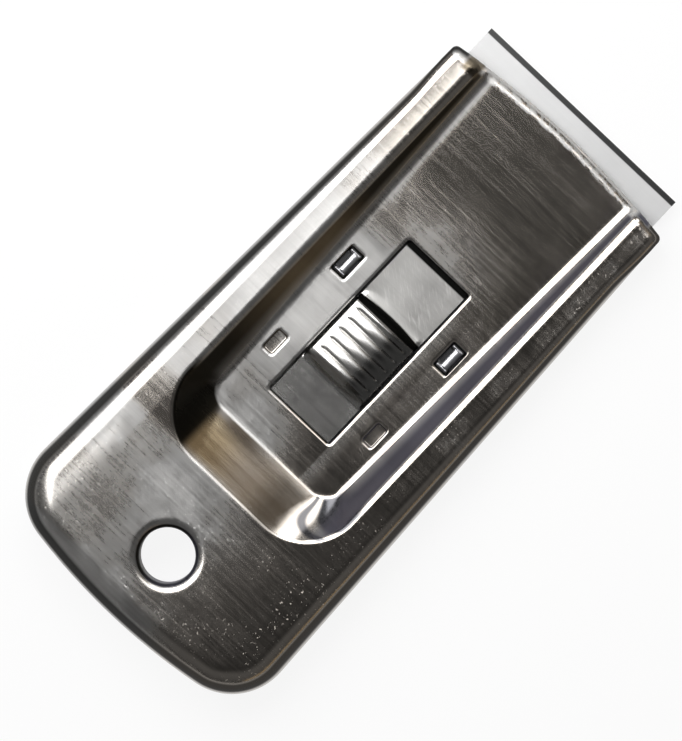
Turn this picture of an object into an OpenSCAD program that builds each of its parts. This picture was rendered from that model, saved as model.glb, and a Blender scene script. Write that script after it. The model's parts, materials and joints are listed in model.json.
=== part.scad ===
// Paint scraper with a retractable single-edge blade.
// A pressed steel body holds a sliding carriage, and a thumb pad moves the carriage along a slot.
// +X points to the blade, +Z is the panel side, and the part lies on its back at z = 0.
// The body is symmetric about y = 0. The middle of the overall length, with the blade out, is x = 0.

/* [Body] */
// Length of the body from the tail to the middle of the mouth
body_length = 102; // [92:0.5:120]
// Width that the two straight sides would have at the tail
tail_width = 51; // [46:0.5:58]
// Room beside each end of the blade, out to the side of the body at the mouth
mouth_margin = 2.2; // [1.8:0.1:4]
// Radius of the arch along the mouth
mouth_arc = 139; // [80:1:300]
// Radius of the arch along the tail
tail_arc = 105; // [60:1:300]
// Plan radius of the two corners beside the mouth
front_corner = 2; // [1.9:0.1:3]
// Plan radius of the two corners of the tail
tail_corner = 8; // [6:0.5:14]
// Thickness of the sheet that the body is pressed from
sheet = 0.7; // [0.5:0.05:1]
// Lean of the outer walls from upright, in degrees
wall_draft = 8; // [2:0.5:12]
// Radius of the top edge at the mouth
front_edge = 1.3; // [1.1:0.1:1.8]
// Radius of the top edge at the tail
tail_edge = 4; // [2:0.1:5]
// Outer radius of the bend where the walls turn under
bend_radius = 0.8; // [0.6:0.05:1.5]
// Width of the flange that is folded under the walls
flange_width = 4.5; // [3:0.1:6]
// Distance of the tail flange's two relief cuts from the middle
relief_place = 12.9; // [8:0.1:15]
// Width of a relief cut
relief_width = 1; // [0.5:0.1:2]

/* [Panel recess] */
// Height of the rails above the panel at the mouth
front_rise = 1.95; // [1.5:0.05:3]
// Height of the top above the panel's level at the tail
tail_rise = 6.3; // [4:0.1:8]
// Width of a rail from the side of the body to the recess at the mouth
rail_width = 4.5; // [3.5:0.1:6]
// Slope of the recess's side walls, in degrees
recess_slope = 42; // [35:1:60]
// Length of the ramp behind the panel, seen from above
recess_ramp = 9; // [6:0.5:14]
// Length of panel behind the slot
panel_tail = 6.6; // [4:0.1:12]
// Plan radius of the panel's rear corners
floor_corner = 3; // [2:0.1:5]
// Plan radius of the recess's rear corners at the top
crest_corner = 9.5; // [6:0.5:14]
// Fillet between the panel and its walls
floor_fillet = 0.5; // [0.3:0.05:1]
// Rounding of the recess's upper edge
crest_fillet = 2; // [1:0.1:4]

/* [Hanging hole] */
// Distance of the hole's centre from the tail
hole_place = 12.95; // [10:0.05:18]
// Diameter of the hole
hole_diameter = 8.2; // [5:0.1:12]
// Rounding of the hole's upper edge
hole_round = 1.1; // [0.5:0.1:2]
// Height of the collar's lower end above the back
collar_foot = 0.2; // [0:0.05:0.6]

/* [Blade] */
// Length of the cutting edge
blade_width = 39; // [30:0.5:60]
// Depth of the blade from the cutting edge to the back of its spine
blade_depth = 19; // [17:0.5:25]
// Thickness of the blade
blade_thickness = 0.25; // [0.15:0.01:0.4]
// How far the blade stands out of the mouth in the working position
blade_reach = 4; // [2:0.1:7]
// Width of the ground bevel
bevel_width = 0.9; // [0.5:0.05:2]
// Distance of the two end notches from the cutting edge
notch_place = 12; // [8:0.1:13]
// Radius of an end notch
notch_radius = 1.5; // [1:0.05:2]
// Thickness of the folded spine
spine_thickness = 0.9; // [0.7:0.05:1.4]
// Depth of the folded spine
spine_depth = 5; // [3:0.1:5.2]
// Depth of the spine's closed fold behind the blade
spine_fold = 0.8; // [0.5:0.05:1.2]
// How much shorter the spine is than the blade at each end
spine_setback = 0.4; // [0:0.05:1]

/* [Thumb pad] */
// Distance of the pad's front foot from the mouth in the working position
pad_place = 39.05; // [35:0.05:48]
// Length of the pad at its foot
pad_length = 13.7; // [10:0.1:18]
// Width of the pad at its foot
pad_width = 12.1; // [9:0.1:15]
// Height of the pad's ribbed top above the slide's plate
pad_rise = 2.4; // [1.5:0.1:4]
// Run of the pad's front and rear slopes
pad_slope = 1.75; // [0.8:0.05:2.5]
// Run of the pad's side slopes
pad_side_slope = 1; // [0.4:0.05:2]
// Spacing of the ribs
rib_pitch = 1.8; // [1.2:0.05:3]
// Radius of a rib's crest
rib_radius = 0.7; // [0.4:0.05:0.8]
// Height of a rib above the pad's top
rib_rise = 0.4; // [0.2:0.05:0.6]

/* [Travel] */
// Travel of the carriage forwards from the working position, to change the blade
travel_out = 10.9; // [6:0.1:14]
// Travel of the carriage backwards from the working position, to cover the blade
travel_back = 7.3; // [6:0.1:10]
// Gap left at each end of the slot
end_gap = 0.1; // [0.05:0.05:0.5]
// Gap on each side of the pad in the slot
side_gap = 0.65; // [0.2:0.05:1.5]
// Corner radius of the slot
slot_corner = 0.8; // [0.3:0.1:2]
// Gap above and below the carriage inside the body
run_gap = 0.15; // [0.1:0.05:0.4]

/* [Detent windows] */
// Distance of the windows' centres ahead of the pad's front foot
window_ahead = 1.6; // [0:0.1:4]
// Length of a window
window_length = 5.6; // [4.5:0.1:8]
// Width of a window
window_width = 3.7; // [2.5:0.1:5]
// Panel left between the slot and a window
window_gap = 2; // [1:0.1:3]
// Distance of the dimples' centres behind the windows' centres
dimple_behind = 16.5; // [12:0.1:20]
// Length of a dimple
dimple_length = 4.2; // [2:0.1:6]
// Width of a dimple
dimple_width = 3; // [2:0.1:4]
// Depth of a dimple
dimple_depth = 0.4; // [0.2:0.05:0.5]
// Corner radius of the windows and dimples
window_corner = 0.8; // [0.3:0.1:1.2]

/* [Inner sheets] */
// Thickness of the back plate
plate_sheet = 0.6; // [0.4:0.05:1]
// Gap between the back plate's edge and the walls
plate_gap = 0.3; // [0.15:0.05:0.6]
// Thickness of the blade carrier's sheet
carrier_sheet = 0.6; // [0.4:0.05:1]
// Length of the carrier ahead of the blade's notches
carrier_lead = 4.5; // [2.5:0.1:7]
// Half width of the carrier's neck
carrier_neck = 13.2; // [10:0.1:16]
// Thickness of the detent spring
spring_sheet = 0.25; // [0.15:0.05:0.4]
// Width of a spring arm
arm_width = 3; // [2:0.1:3.5]
// Length of a detent pip
pip_length = 3.5; // [2:0.1:5]
// Width of a detent pip
pip_width = 1.5; // [1:0.1:2.5]
// Depth of a pip's top below the face of the panel
pip_drop = 0.2; // [0.1:0.05:0.4]
// Thickness of the thumb slide's sheet
slide_sheet = 0.6; // [0.4:0.05:1]
// How far the slide's plate runs under the panel beyond what the slot can uncover
slide_cover = 1; // [0.4:0.1:3]
// Radius of a rivet's shank
rivet_radius = 1; // [0.6:0.05:1.5]
// Radius of a rivet's sunk head
rivet_head = 1.4; // [1.2:0.05:2.2]
// Distance of each rivet from the middle
rivet_place = 4.5; // [3:0.1:7]
// Gap around pieces that are assembled together
fit_gap = 0.05; // [0.02:0.01:0.15]

/* [Hidden] */

// Steps in an arc of the outline, in a corner and in a fillet, and facets in a full circle
arc_steps = 5;
corner_steps = 8;
fillet_steps = 3;
round_fn = 64;
lip_fn = 256;
// How far a cutter reaches past the face that it cuts
past = 2;
// How far a cutter's last facet rises through the face that it rounds
skim = 0.06;

// Heights, from the back upwards
plate_top = sheet + plate_sheet;
spine_z = plate_top + run_gap;
blade_z = spine_z + (spine_thickness - blade_thickness) / 2;
carrier_z = spine_z + spine_thickness;
spring_z = carrier_z + carrier_sheet;
slide_z = spring_z + spring_sheet;
slide_top = slide_z + slide_sheet;
panel_under = slide_top + run_gap;
panel_z = panel_under + sheet;
mouth_top = spring_z + run_gap;
lip_radius = panel_z - mouth_top;
pip_top = panel_z - pip_drop;
pad_top = slide_top + pad_rise;

// Places along the body
overall = body_length + blade_reach;
x_tail = -overall / 2;
x_front = x_tail + body_length;
x_edge = x_front + blade_reach;
x_hole = x_tail + hole_place;
x_spine = x_edge - blade_depth;
x_notch = x_edge - notch_place;
pad_front = x_front - pad_place;
pad_rear = pad_front - pad_length;
slot_front = pad_front + travel_out + end_gap;
slot_rear = pad_rear - travel_back - end_gap;
slot_half = pad_width / 2 + side_gap;
window_x = pad_front + window_ahead;
window_y = slot_half + window_gap + window_width / 2;
dimple_x = window_x - dimple_behind;
floor_rear = slot_rear - panel_tail;
crest_rear = floor_rear - recess_ramp;
rivet_x = slot_front + travel_back + rivet_head + slide_cover;
slide_front = rivet_x + rivet_head + slide_cover;
slide_rear = slot_rear - travel_out - slide_cover;
collar_radius = hole_diameter / 2 + sheet;
spring_base = rivet_x - rivet_head - slide_cover;

// Plan of the body: two straight sides, an arch at each end and four rounded corners
front_width = blade_width + 2 * mouth_margin;
taper = atan((tail_width - front_width) / 2 / body_length);
side_normal = [sin(taper), cos(taper)];
side_line = [cos(taper), -sin(taper)];
side_offset = side_normal * [x_front, front_width / 2];
front_axis = [x_front - mouth_arc, 0];
tail_axis = [x_tail + tail_arc, 0];
front_centre = corner_centre(front_axis, mouth_arc, front_corner, 1);
tail_centre = corner_centre(tail_axis, tail_arc, tail_corner, -1);
front_angle = angle_from(front_axis, front_centre);
tail_angle = angle_from(tail_axis, tail_centre);
half_outline = concat(
    turn(front_axis, mouth_arc, 0, front_angle, arc_steps),
    turn(front_centre, front_corner, front_angle, 90 - taper, corner_steps / 2, 1),
    turn(tail_centre, tail_corner, 90 - taper, tail_angle, corner_steps),
    turn(tail_axis, tail_arc, tail_angle, 180, arc_steps, 1));
outline = both_sides(half_outline);

// Plan of the recess: the panel's edge and the crest above it, point for point
crest_half = front_width / 2 - rail_width;
floor_turn = atan((floor_half(x_front) - floor_half(x_tail)) / body_length);
floor_mid = floor_rear + floor_corner;
floor_centre = [floor_mid, floor_half(floor_mid) - floor_corner / cos(floor_turn)];
crest_centre = [crest_rear + crest_corner, crest_half - crest_corner];
x_out = x_front + past;
floor_line = concat(
    [[x_out, floor_half(x_out)]],
    points(turn(floor_centre, floor_corner, 90 + floor_turn, 180, corner_steps)),
    [[floor_rear, 0]]);
crest_line = concat(
    [[x_out, crest_half]],
    points(turn(crest_centre, crest_corner, 90, 180, corner_steps)),
    [[crest_rear, 0]]);

function mix(a, b, t) = a + (b - a) * t;
function along(x) = (x_front - x) / body_length;
function points(places) = [for (p = places) p[0]];
function angle_from(centre, p) = atan2(p.y - centre.y, p.x - centre.x);

// Points of an arc, each with its outward direction
function turn(centre, radius, from, to, steps, first = 0) = [for (i = [first : steps])
    let (a = mix(from, to, i / steps), n = [cos(a), sin(a)])
    [centre + radius * n, n]];

// Centre of the corner that joins a side to the arch at one end
function corner_centre(axis, arc, radius, way) =
    let (s = side_offset - radius - side_normal * axis)
    axis + s * side_normal + way * sqrt((arc - radius) ^ 2 - s ^ 2) * side_line;

// A half outline, from the front round to the rear, with its mirror image
function both_sides(half) = concat(half, [for (i = [len(half) - 2 : -1 : 1])
    let (p = half[i])
    [[p[0].x, -p[0].y], [p[1].x, -p[1].y]]]);
function mirrored(half) = concat(half, [for (i = [len(half) - 1 : -1 : 0])
    let (p = half[i])
    if (p.y > 0) concat([p.x, -p.y], len(p) > 2 ? [p.z] : [])]);

// Heights and roundings that change from the mouth to the tail
function top_z(x) = panel_z + mix(front_rise, tail_rise, along(x));
function edge_radius(x) = mix(front_edge, tail_edge, along(x));
function side_half(x) = front_width / 2 + (x_front - x) * tan(taper);
function floor_half(x) = crest_half - (top_z(x) - panel_z) / tan(recess_slope);

// How far a wall leans in at a height; the face of the mouth stays upright
function lean(z, n) = (z - bend_radius) * tan(wall_draft) * (1 - max(0, n.x));

// Rings of the body's surface, or of the same surface moved in by a thickness
function bend_ring(a) = [for (o = outline)
    let (q = o[0] - bend_radius * (1 - sin(a)) * o[1])
    [q.x, q.y, bend_radius * (1 - cos(a))]];
function foot_ring(inset) = [for (o = outline)
    let (q = o[0] - inset * o[1])
    [q.x, q.y, sheet]];
function edge_ring(inset, a) = [for (o = outline)
    let (
        p = o[0],
        n = o[1],
        r = edge_radius(p.x),
        e = lean(top_z(p.x) - r, n) + r - (r - inset) * cos(a),
        q = p - e * n)
    [q.x, q.y, top_z(q.x) - r + (r - inset) * sin(a)]];

// Section of the recess from the panel up its wall to the crest, or of that surface moved down
function recess_section(i, inset) =
    let (
        f = floor_line[i],
        c = crest_line[i],
        run = norm(c - f),
        u = (c - f) / run,
        rise = top_z(c.x) - panel_z,
        slope = atan(rise / run),
        shift = inset * tan(slope / 2),
        low = floor_fillet + inset,
        high = crest_fillet - inset,
        section = concat(
            [for (k = [0 : fillet_steps])
                let (a = slope * k / fillet_steps)
                [low * (sin(a) - tan(slope / 2)), low * (1 - cos(a))]],
            [for (k = [fillet_steps : -1 : 0])
                let (a = slope * k / fillet_steps)
                [run - high * (sin(a) - tan(slope / 2)), rise - high * (1 - cos(a)) + (k == 0 ? skim : 0)]],
            [[run + high * tan(slope / 2), tail_rise + past]]))
    [for (s = section)
        let (q = f + (shift + s[0]) * u)
        [q.x, q.y, panel_z - inset + s[1]]];

// Half of an inner outline with a straight front, a set distance inside the sides and the tail
function inner_half(front, inset) = concat(
    [[front, side_half(front) - inset / cos(taper)]],
    points(turn(tail_centre, max(bend_radius, tail_corner - inset), 90 - taper, tail_angle, corner_steps)),
    points(turn(tail_axis, tail_arc - inset, tail_angle, 180, arc_steps, 1)));

function rounded(length, width, radius) = [for (c = [[1, 1, 0], [-1, 1, 90], [-1, -1, 180], [1, -1, 270]])
    let (centre = [c[0] * (length / 2 - radius), c[1] * (width / 2 - radius)])
    each points(turn(centre, radius, c[2], c[2] + 90, fillet_steps))];

// A closed solid through a stack of rings, lowest first, each counterclockwise from above
module skin(rings) {
    n = len(rings[0]);
    top = (len(rings) - 1) * n;
    sides = [for (r = [0 : len(rings) - 2], i = [0 : n - 1])
        let (a = r * n + i, b = r * n + (i + 1) % n)
        [a, a + n, b + n, b]];
    caps = [[for (i = [0 : n - 1]) i], [for (i = [n - 1 : -1 : 0]) top + i]];
    polyhedron(points = [for (ring = rings) each ring], faces = concat(sides, caps));
}

// A flat plate with rounded corners, from one place along x to another and centred on y = 0
module slab(rear, front, z, width, thickness, radius) {
    translate([(rear + front) / 2, 0, z])
        linear_extrude(thickness)
            polygon(rounded(front - rear, width, radius));
}

// A small rounded block, centred on a place along x
module pressing(x, z, length, width, thickness, radius) {
    slab(x - length / 2, x + length / 2, z, width, thickness, radius);
}

// A profile drawn in x and z, carried across a width
module across(profile, width) {
    translate([0, width / 2, 0])
        rotate([90, 0, 0])
            linear_extrude(width)
                polygon(profile);
}

module at_both_sides(y) {
    for (side = [-1, 1])
        translate([0, side * y, 0])
            children();
}

// The pressing before it is hollowed
module body_form() {
    skin(concat(
        [for (a = [0 : 30 : 90]) bend_ring(a)],
        [for (a = [0 : 22.5 : 90]) edge_ring(0, a)]));
}

module recess(inset) {
    sections = [for (i = [0 : len(floor_line) - 1]) recess_section(i, inset)];
    skin([for (level = [0 : len(sections[0]) - 1])
        mirrored([for (s = sections) s[level]])]);
}

// What is taken away to roll the panel's front edge down into a lip
module lip(inset) {
    radius = lip_radius - inset;
    angle = asin(floor_half(x_front) / mouth_arc);
    steps = fillet_steps + 1;
    translate([front_axis.x, 0, mouth_top])
        rotate(-angle)
            rotate_extrude(angle = 2 * angle, $fn = lip_fn)
                translate([mouth_arc - lip_radius, 0])
                    polygon(concat(
                        [[-front_edge, lip_radius + past], [-front_edge, radius + skim]],
                        [for (k = [steps - 1 : -1 : 1]) radius * [cos(90 * k / steps), sin(90 * k / steps)]],
                        [[radius + skim, -front_edge], [lip_radius + past, -front_edge]],
                        [[lip_radius + past, lip_radius + past]]));
}

// The space inside the pressing
module cavity() {
    difference() {
        skin(concat([foot_ring(sheet)], [for (a = [0 : 22.5 : 90]) edge_ring(sheet, a)]));
        recess(sheet);
        lip(sheet);
    }
}

// Bore of the hanging hole with its rounded upper edge
module hole_bore() {
    r = hole_diameter / 2;
    top = top_z(x_hole);
    edge = [for (k = [0 : fillet_steps])
        let (a = 180 - 90 * k / fillet_steps)
        [r + hole_round * (1 + cos(a)), top - hole_round * (1 - sin(a))]];
    translate([x_hole, 0, 0])
        rotate_extrude($fn = round_fn)
            polygon(concat(
                [[0, -past], [r, -past]],
                edge,
                [[r + 2 * hole_round, top + hole_round * tan(15)], [r + 2 * hole_round, top + past]],
                [[0, top + past]]));
}

// Openings through the panel and the front of the pressing, and the cuts in its flange
module body_openings() {
    mouth_half = blade_width / 2 + plate_gap;
    mouth_depth = sheet + past + mouth_arc - sqrt(mouth_arc ^ 2 - mouth_half ^ 2);
    tall = sheet + 2 * run_gap;
    low = panel_under - run_gap;
    slab(slot_rear, slot_front, low, 2 * slot_half, tall, slot_corner);
    at_both_sides(window_y) {
        pressing(window_x, low, window_length, window_width, tall, window_corner);
        pressing(dimple_x, panel_z - dimple_depth, dimple_length, dimple_width, tall, window_corner);
    }
    translate([x_front - mouth_depth, -mouth_half, sheet])
        cube([mouth_depth + past, 2 * mouth_half, mouth_top - sheet]);
    at_both_sides(relief_place)
        translate([x_tail - past, -relief_width / 2, -past])
            cube([flange_width + 2 * past, relief_width, past + bend_radius + run_gap]);
    hole_bore();
}

// The open back inside the flange
module back_opening() {
    translate([0, 0, -past])
        linear_extrude(past + sheet + run_gap)
            polygon(mirrored(inner_half(x_out, flange_width)));
}

// The pressed body: rails, recessed panel, lip, drawn hole collar and folded flange
module body_shell() {
    tab_reach = 2 * plate_gap;
    color("#b9bbc0")
        difference() {
            union() {
                difference() {
                    body_form();
                    recess(0);
                    lip(0);
                    cavity();
                    back_opening();
                }
                translate([x_hole, 0, collar_foot])
                    cylinder(r = collar_radius, h = top_z(x_hole) - sheet / 2 - collar_foot, $fn = round_fn);
                at_both_sides(window_y)
                    pressing(dimple_x, panel_under - dimple_depth, dimple_length + sheet,
                        dimple_width + sheet, dimple_depth + sheet / 2, window_corner + sheet / 2);
                // Tabs struck in from the walls, which hold the back plate down
                for (x = [x_tail + body_length / 4, x_tail + body_length * 3 / 4], side = [-1, 1])
                    translate([x, side * (side_half(x) - sheet - plate_gap), plate_top])
                        translate([-flange_width / 2, -tab_reach, 0])
                            cube([flange_width, 2 * tab_reach, plate_sheet]);
            }
            body_openings();
        }
}

// The flat plate that closes the back, laid on the flange
module back_plate() {
    front = x_spine + travel_out - plate_gap;
    color("#8f9196")
        difference() {
            translate([0, 0, sheet])
                linear_extrude(plate_sheet)
                    polygon(mirrored(inner_half(front, sheet + plate_gap)));
            translate([x_hole, 0, 0])
                cylinder(r = collar_radius + fit_gap, h = plate_top + past, $fn = round_fn);
        }
}

// Holes for the two rivets, sunk at the carrier's underside and the slide's face
module rivets(gap) {
    sink = rivet_head - rivet_radius;
    r = rivet_radius + gap;
    at_both_sides(rivet_place)
        translate([rivet_x, 0, 0])
            rotate_extrude($fn = round_fn)
                polygon([[0, carrier_z], [r + sink, carrier_z], [r, carrier_z + sink], [r, slide_top - sink],
                    [r + sink, slide_top], [0, slide_top]]);
}

// The stamped plate that seats the blade: a rear stop behind the spine and a lug in each end notch
module blade_carrier() {
    front = x_notch + carrier_lead;
    rear = pad_rear - slide_cover;
    wide_half = blade_width / 2;
    wide_rear = x_spine - carrier_sheet - fit_gap - carrier_lead;
    lug_half = notch_radius * 0.6 - fit_gap;
    lug_width = notch_radius * 0.8 - fit_gap;
    stop_half = carrier_neck - carrier_sheet;
    color("#9a9ca1")
        difference() {
            union() {
                slab(wide_rear, front, carrier_z, 2 * wide_half, carrier_sheet, carrier_sheet);
                slab(rear, front, carrier_z, 2 * carrier_neck, carrier_sheet, carrier_sheet);
                translate([x_spine - fit_gap - carrier_sheet, -stop_half, spine_z])
                    cube([carrier_sheet, 2 * stop_half, spine_thickness + carrier_sheet / 2]);
                at_both_sides(wide_half - lug_width / 2)
                    translate([x_notch - lug_half, -lug_width / 2, blade_z])
                        cube([2 * lug_half, lug_width, carrier_z - blade_z + carrier_sheet / 2]);
            }
            rivets(fit_gap);
        }
}

// The leaf spring: a riveted base and two arms that rise to a pip in each window
module detent_spring() {
    pip_rear = window_x - pip_length / 2;
    pip_front = window_x + pip_length / 2;
    arm_rear = pip_rear - window_corner;
    low = spring_z + slide_sheet;
    high = slide_z + slide_sheet;
    arm = [[spring_base, spring_z], [spring_base, slide_z], [pip_front, high], [arm_rear, high],
        [arm_rear, low], [pip_front, low]];
    pip_radius = pip_width / 2;
    color("#c9cbd0")
        difference() {
            union() {
                slab(spring_base, slide_front, spring_z, 2 * window_y + arm_width, spring_sheet,
                    spring_sheet);
                at_both_sides(window_y) {
                    across(arm, arm_width);
                    intersection() {
                        translate([pip_rear, 0, pip_top - pip_radius])
                            rotate([0, 90, 0])
                                cylinder(r = pip_radius, h = pip_length, $fn = round_fn);
                        translate([arm_rear, -arm_width / 2, (low + high) / 2])
                            cube([2 * pip_length, arm_width, pip_top]);
                    }
                }
            }
            rivets(fit_gap);
        }
}

// A block whose four sides slope in towards its top
module frustum(rear, front, width, low, high, slope, side_slope) {
    intersection() {
        across([[rear, low], [front, low], [front - slope, high], [rear + slope, high]], width);
        translate([rear, 0, 0])
            rotate([90, 0, 90])
                linear_extrude(front - rear)
                    polygon([[-width / 2, low], [width / 2, low], [width / 2 - side_slope, high],
                        [side_slope - width / 2, high]]);
    }
}

// The thumb slide: a flat plate in the slot, riveted to the carrier, with a hollow ribbed pad pressed up from it
module thumb_slide() {
    top_length = pad_length - 2 * pad_slope;
    rib_count = 1 + floor((top_length - rib_radius) / rib_pitch);
    rib_length = pad_width - 2 * pad_side_slope - rib_radius;
    first_rib = (pad_front + pad_rear - (rib_count - 1) * rib_pitch) / 2;
    color("#aeb0b5")
        difference() {
            union() {
                slab(slide_rear, slide_front, slide_z, pad_width, slide_sheet, slot_corner);
                frustum(pad_rear, pad_front, pad_width, slide_top - slide_sheet / 2, pad_top, pad_slope,
                    pad_side_slope);
                for (k = [0 : rib_count - 1])
                    translate([first_rib + k * rib_pitch, 0, pad_top + rib_rise - rib_radius])
                        rotate([90, 0, 0])
                            cylinder(r = rib_radius, h = rib_length, center = true, $fn = round_fn);
            }
            frustum(pad_rear + slide_sheet, pad_front - slide_sheet, pad_width - 2 * slide_sheet,
                slide_z - past, pad_top - slide_sheet, pad_slope, pad_side_slope);
            rivets(fit_gap);
        }
}

// Two flush rivets through the carrier, the spring and the slide
module slide_rivets() {
    color("#a5a7ab")
        rivets(0);
}

// The single-edge blade, with a double bevel and a notch in each end
module blade() {
    rear = x_spine + spine_fold;
    top = blade_z + blade_thickness;
    color("#d4d6da")
        difference() {
            across([[rear, blade_z], [x_edge - bevel_width, blade_z], [x_edge, blade_z + blade_thickness / 2],
                [x_edge - bevel_width, top], [rear, top]], blade_width);
            at_both_sides(blade_width / 2)
                translate([x_notch, 0, blade_z - past])
                    cylinder(r = notch_radius, h = blade_thickness + 2 * past, $fn = round_fn);
        }
}

// The steel strip folded over the back of the blade
module blade_spine() {
    r = spine_thickness / 2;
    front = x_spine + spine_depth;
    top = blade_z + blade_thickness;
    fold = [for (k = [0 : corner_steps])
        let (a = 90 + 180 * k / corner_steps)
        [x_spine + r + r * cos(a), spine_z + r + r * sin(a)]];
    color("#7f8186")
        across(concat(fold, [[front, spine_z], [front, blade_z], [x_spine + spine_fold, blade_z],
            [x_spine + spine_fold, top], [front, top], [front, carrier_z]]), blade_width - 2 * spine_setback);
}

body_shell();
back_plate();
blade_carrier();
detent_spring();
thumb_slide();
slide_rivets();
blade();
blade_spine();
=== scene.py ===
# %% [markdown]
# This scene dresses the solids of a pressed steel paint scraper. The solids are loaded first and stay where
# they are, and every new piece is drawn in the same frame: +X to the blade, +Z out of the panel.

# %% Load the solids
import json
import bpy
import bmesh
import numpy as np
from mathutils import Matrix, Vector
from mathutils.geometry import delaunay_2d_cdt

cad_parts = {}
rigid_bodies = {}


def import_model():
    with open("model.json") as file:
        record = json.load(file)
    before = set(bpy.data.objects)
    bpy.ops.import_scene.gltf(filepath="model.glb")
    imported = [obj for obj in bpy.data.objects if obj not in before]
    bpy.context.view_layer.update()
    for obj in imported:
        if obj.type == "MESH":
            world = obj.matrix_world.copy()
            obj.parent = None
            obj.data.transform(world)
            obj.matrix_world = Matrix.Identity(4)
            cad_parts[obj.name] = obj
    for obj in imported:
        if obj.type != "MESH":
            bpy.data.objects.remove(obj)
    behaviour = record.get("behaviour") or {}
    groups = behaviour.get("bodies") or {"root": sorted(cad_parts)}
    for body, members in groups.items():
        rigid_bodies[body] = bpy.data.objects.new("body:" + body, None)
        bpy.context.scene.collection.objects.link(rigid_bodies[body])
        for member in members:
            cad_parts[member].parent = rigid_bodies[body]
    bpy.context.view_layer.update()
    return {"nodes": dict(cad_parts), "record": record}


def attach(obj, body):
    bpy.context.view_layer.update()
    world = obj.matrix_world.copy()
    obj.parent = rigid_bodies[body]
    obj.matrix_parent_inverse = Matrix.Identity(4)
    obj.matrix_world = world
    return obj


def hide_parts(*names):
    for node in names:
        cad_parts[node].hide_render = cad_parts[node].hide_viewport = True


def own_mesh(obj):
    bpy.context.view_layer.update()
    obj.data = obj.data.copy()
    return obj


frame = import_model()
MM = 0.001
print("nodes:", ", ".join(sorted(frame["nodes"])))

# %% [markdown]
# The camera looks straight down on the scraper, which lies turned on the table. A long lens far away keeps the
# outline free of perspective, as in the photograph, so one pixel is the same length all over the picture.

# %% Camera
TURN = -46.6
FRAME_HEIGHT = 113.8
DISTANCE, SUBJECT_Z = 1000.0, 5.0
AIM_X, AIM_Y = -1.25, 0.14
SENSOR = 36.0
camera_data = bpy.data.cameras.new("camera")
camera = bpy.data.objects.new("camera", camera_data)
bpy.context.scene.collection.objects.link(camera)
camera.location = (AIM_X * MM, AIM_Y * MM, (DISTANCE + SUBJECT_Z) * MM)
camera.rotation_euler = (0, 0, np.radians(TURN))
camera_data.sensor_width = SENSOR
camera_data.lens = SENSOR * DISTANCE / FRAME_HEIGHT
camera_data.clip_end = 10 * DISTANCE * MM
bpy.context.scene.camera = camera
print("lens", round(camera_data.lens, 1), "mm")

# %% [markdown]
# All the sheet-metal pieces are grids of points that share their edges. One helper numbers the faces of a grid,
# and another joins several grids into one mesh and merges the points that they share. A third fills a flat region
# with triangles, and the last one gives the points of an arc.

# %% Mesh helpers
MERGE = 0.002
INSIDE_ONLY, NEAR = 1, 1e-6


def grid_faces(rows, columns, keep=None):
    """Corner numbers of each cell of a rows by columns grid of points, row by row; keep masks cells."""
    first = np.arange(rows - 1)[:, None] * columns + np.arange(columns - 1)
    cells = np.stack([first, first + 1, first + columns + 1, first + columns], axis=-1)
    return cells.reshape(-1, 4) if keep is None else cells[keep]


def join_grids(name, grids):
    """One smooth mesh from (points, faces) pairs in mm, with the points that coincide merged."""
    offset = np.cumsum([0] + [len(points) for points, _ in grids[:-1]])
    points = np.concatenate([points for points, _ in grids]) * MM
    faces = [face for (_, cells), start in zip(grids, offset) for face in (cells + start).tolist()]
    mesh = bpy.data.meshes.new(name)
    mesh.from_pydata(points, [], faces)
    work = bmesh.new()
    work.from_mesh(mesh)
    bmesh.ops.remove_doubles(work, verts=work.verts, dist=MERGE * MM)
    work.to_mesh(mesh)
    work.free()
    mesh.shade_smooth()
    piece = bpy.data.objects.new(name, mesh)
    bpy.context.scene.collection.objects.link(piece)
    return piece


def flat_sheet(loops, height, inside=()):
    """Triangles within the first loop and outside the others, which are convex.

    Height gives z from x and y, and inside holds more rows of points to use.
    """
    ends = np.cumsum([len(loop) for loop in loops])
    edges = [np.stack([np.arange(end - len(loop), end), np.roll(np.arange(end - len(loop), end), -1)], axis=1)
             for loop, end in zip(loops, ends)]
    corners = [Vector(point) for point in np.concatenate([*loops, *inside]).tolist()]
    plan, _, cells, *_ = delaunay_2d_cdt(corners, np.concatenate(edges).tolist(), [], INSIDE_ONLY, NEAR)
    plan, cells = np.array([tuple(point) for point in plan]), np.array(cells)
    middle = plan[cells].mean(axis=1)
    for loop in loops[1:]:
        edge, arm = np.roll(loop, -1, axis=0) - loop, middle[:, None] - loop
        within = (edge[:, 0] * arm[..., 1] - edge[:, 1] * arm[..., 0] > 0).all(axis=1)
        cells, middle = cells[~within], middle[~within]
    return np.column_stack([plan, height(plan[:, 0], plan[:, 1])]), cells


def arc(centre, radius, angles):
    """Points of an arc at angles in degrees, and the outward direction at each."""
    turn = np.radians(angles)
    out = np.stack([np.cos(turn), np.sin(turn)], axis=-1)
    return np.asarray(centre) + radius * out, out


print("mesh helpers ready")

# %% [markdown]
# The body is one sheet of stainless steel, pressed and folded. Its plan has two straight sides that spread
# towards the tail, a shallow arch at each end and four rounded corners. Most numbers are those of the solids, so
# the dressed body fills the same space. The recess wall, the corners, the rails and the hole's rim follow the
# photograph more closely, by up to two millimetres.

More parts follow.
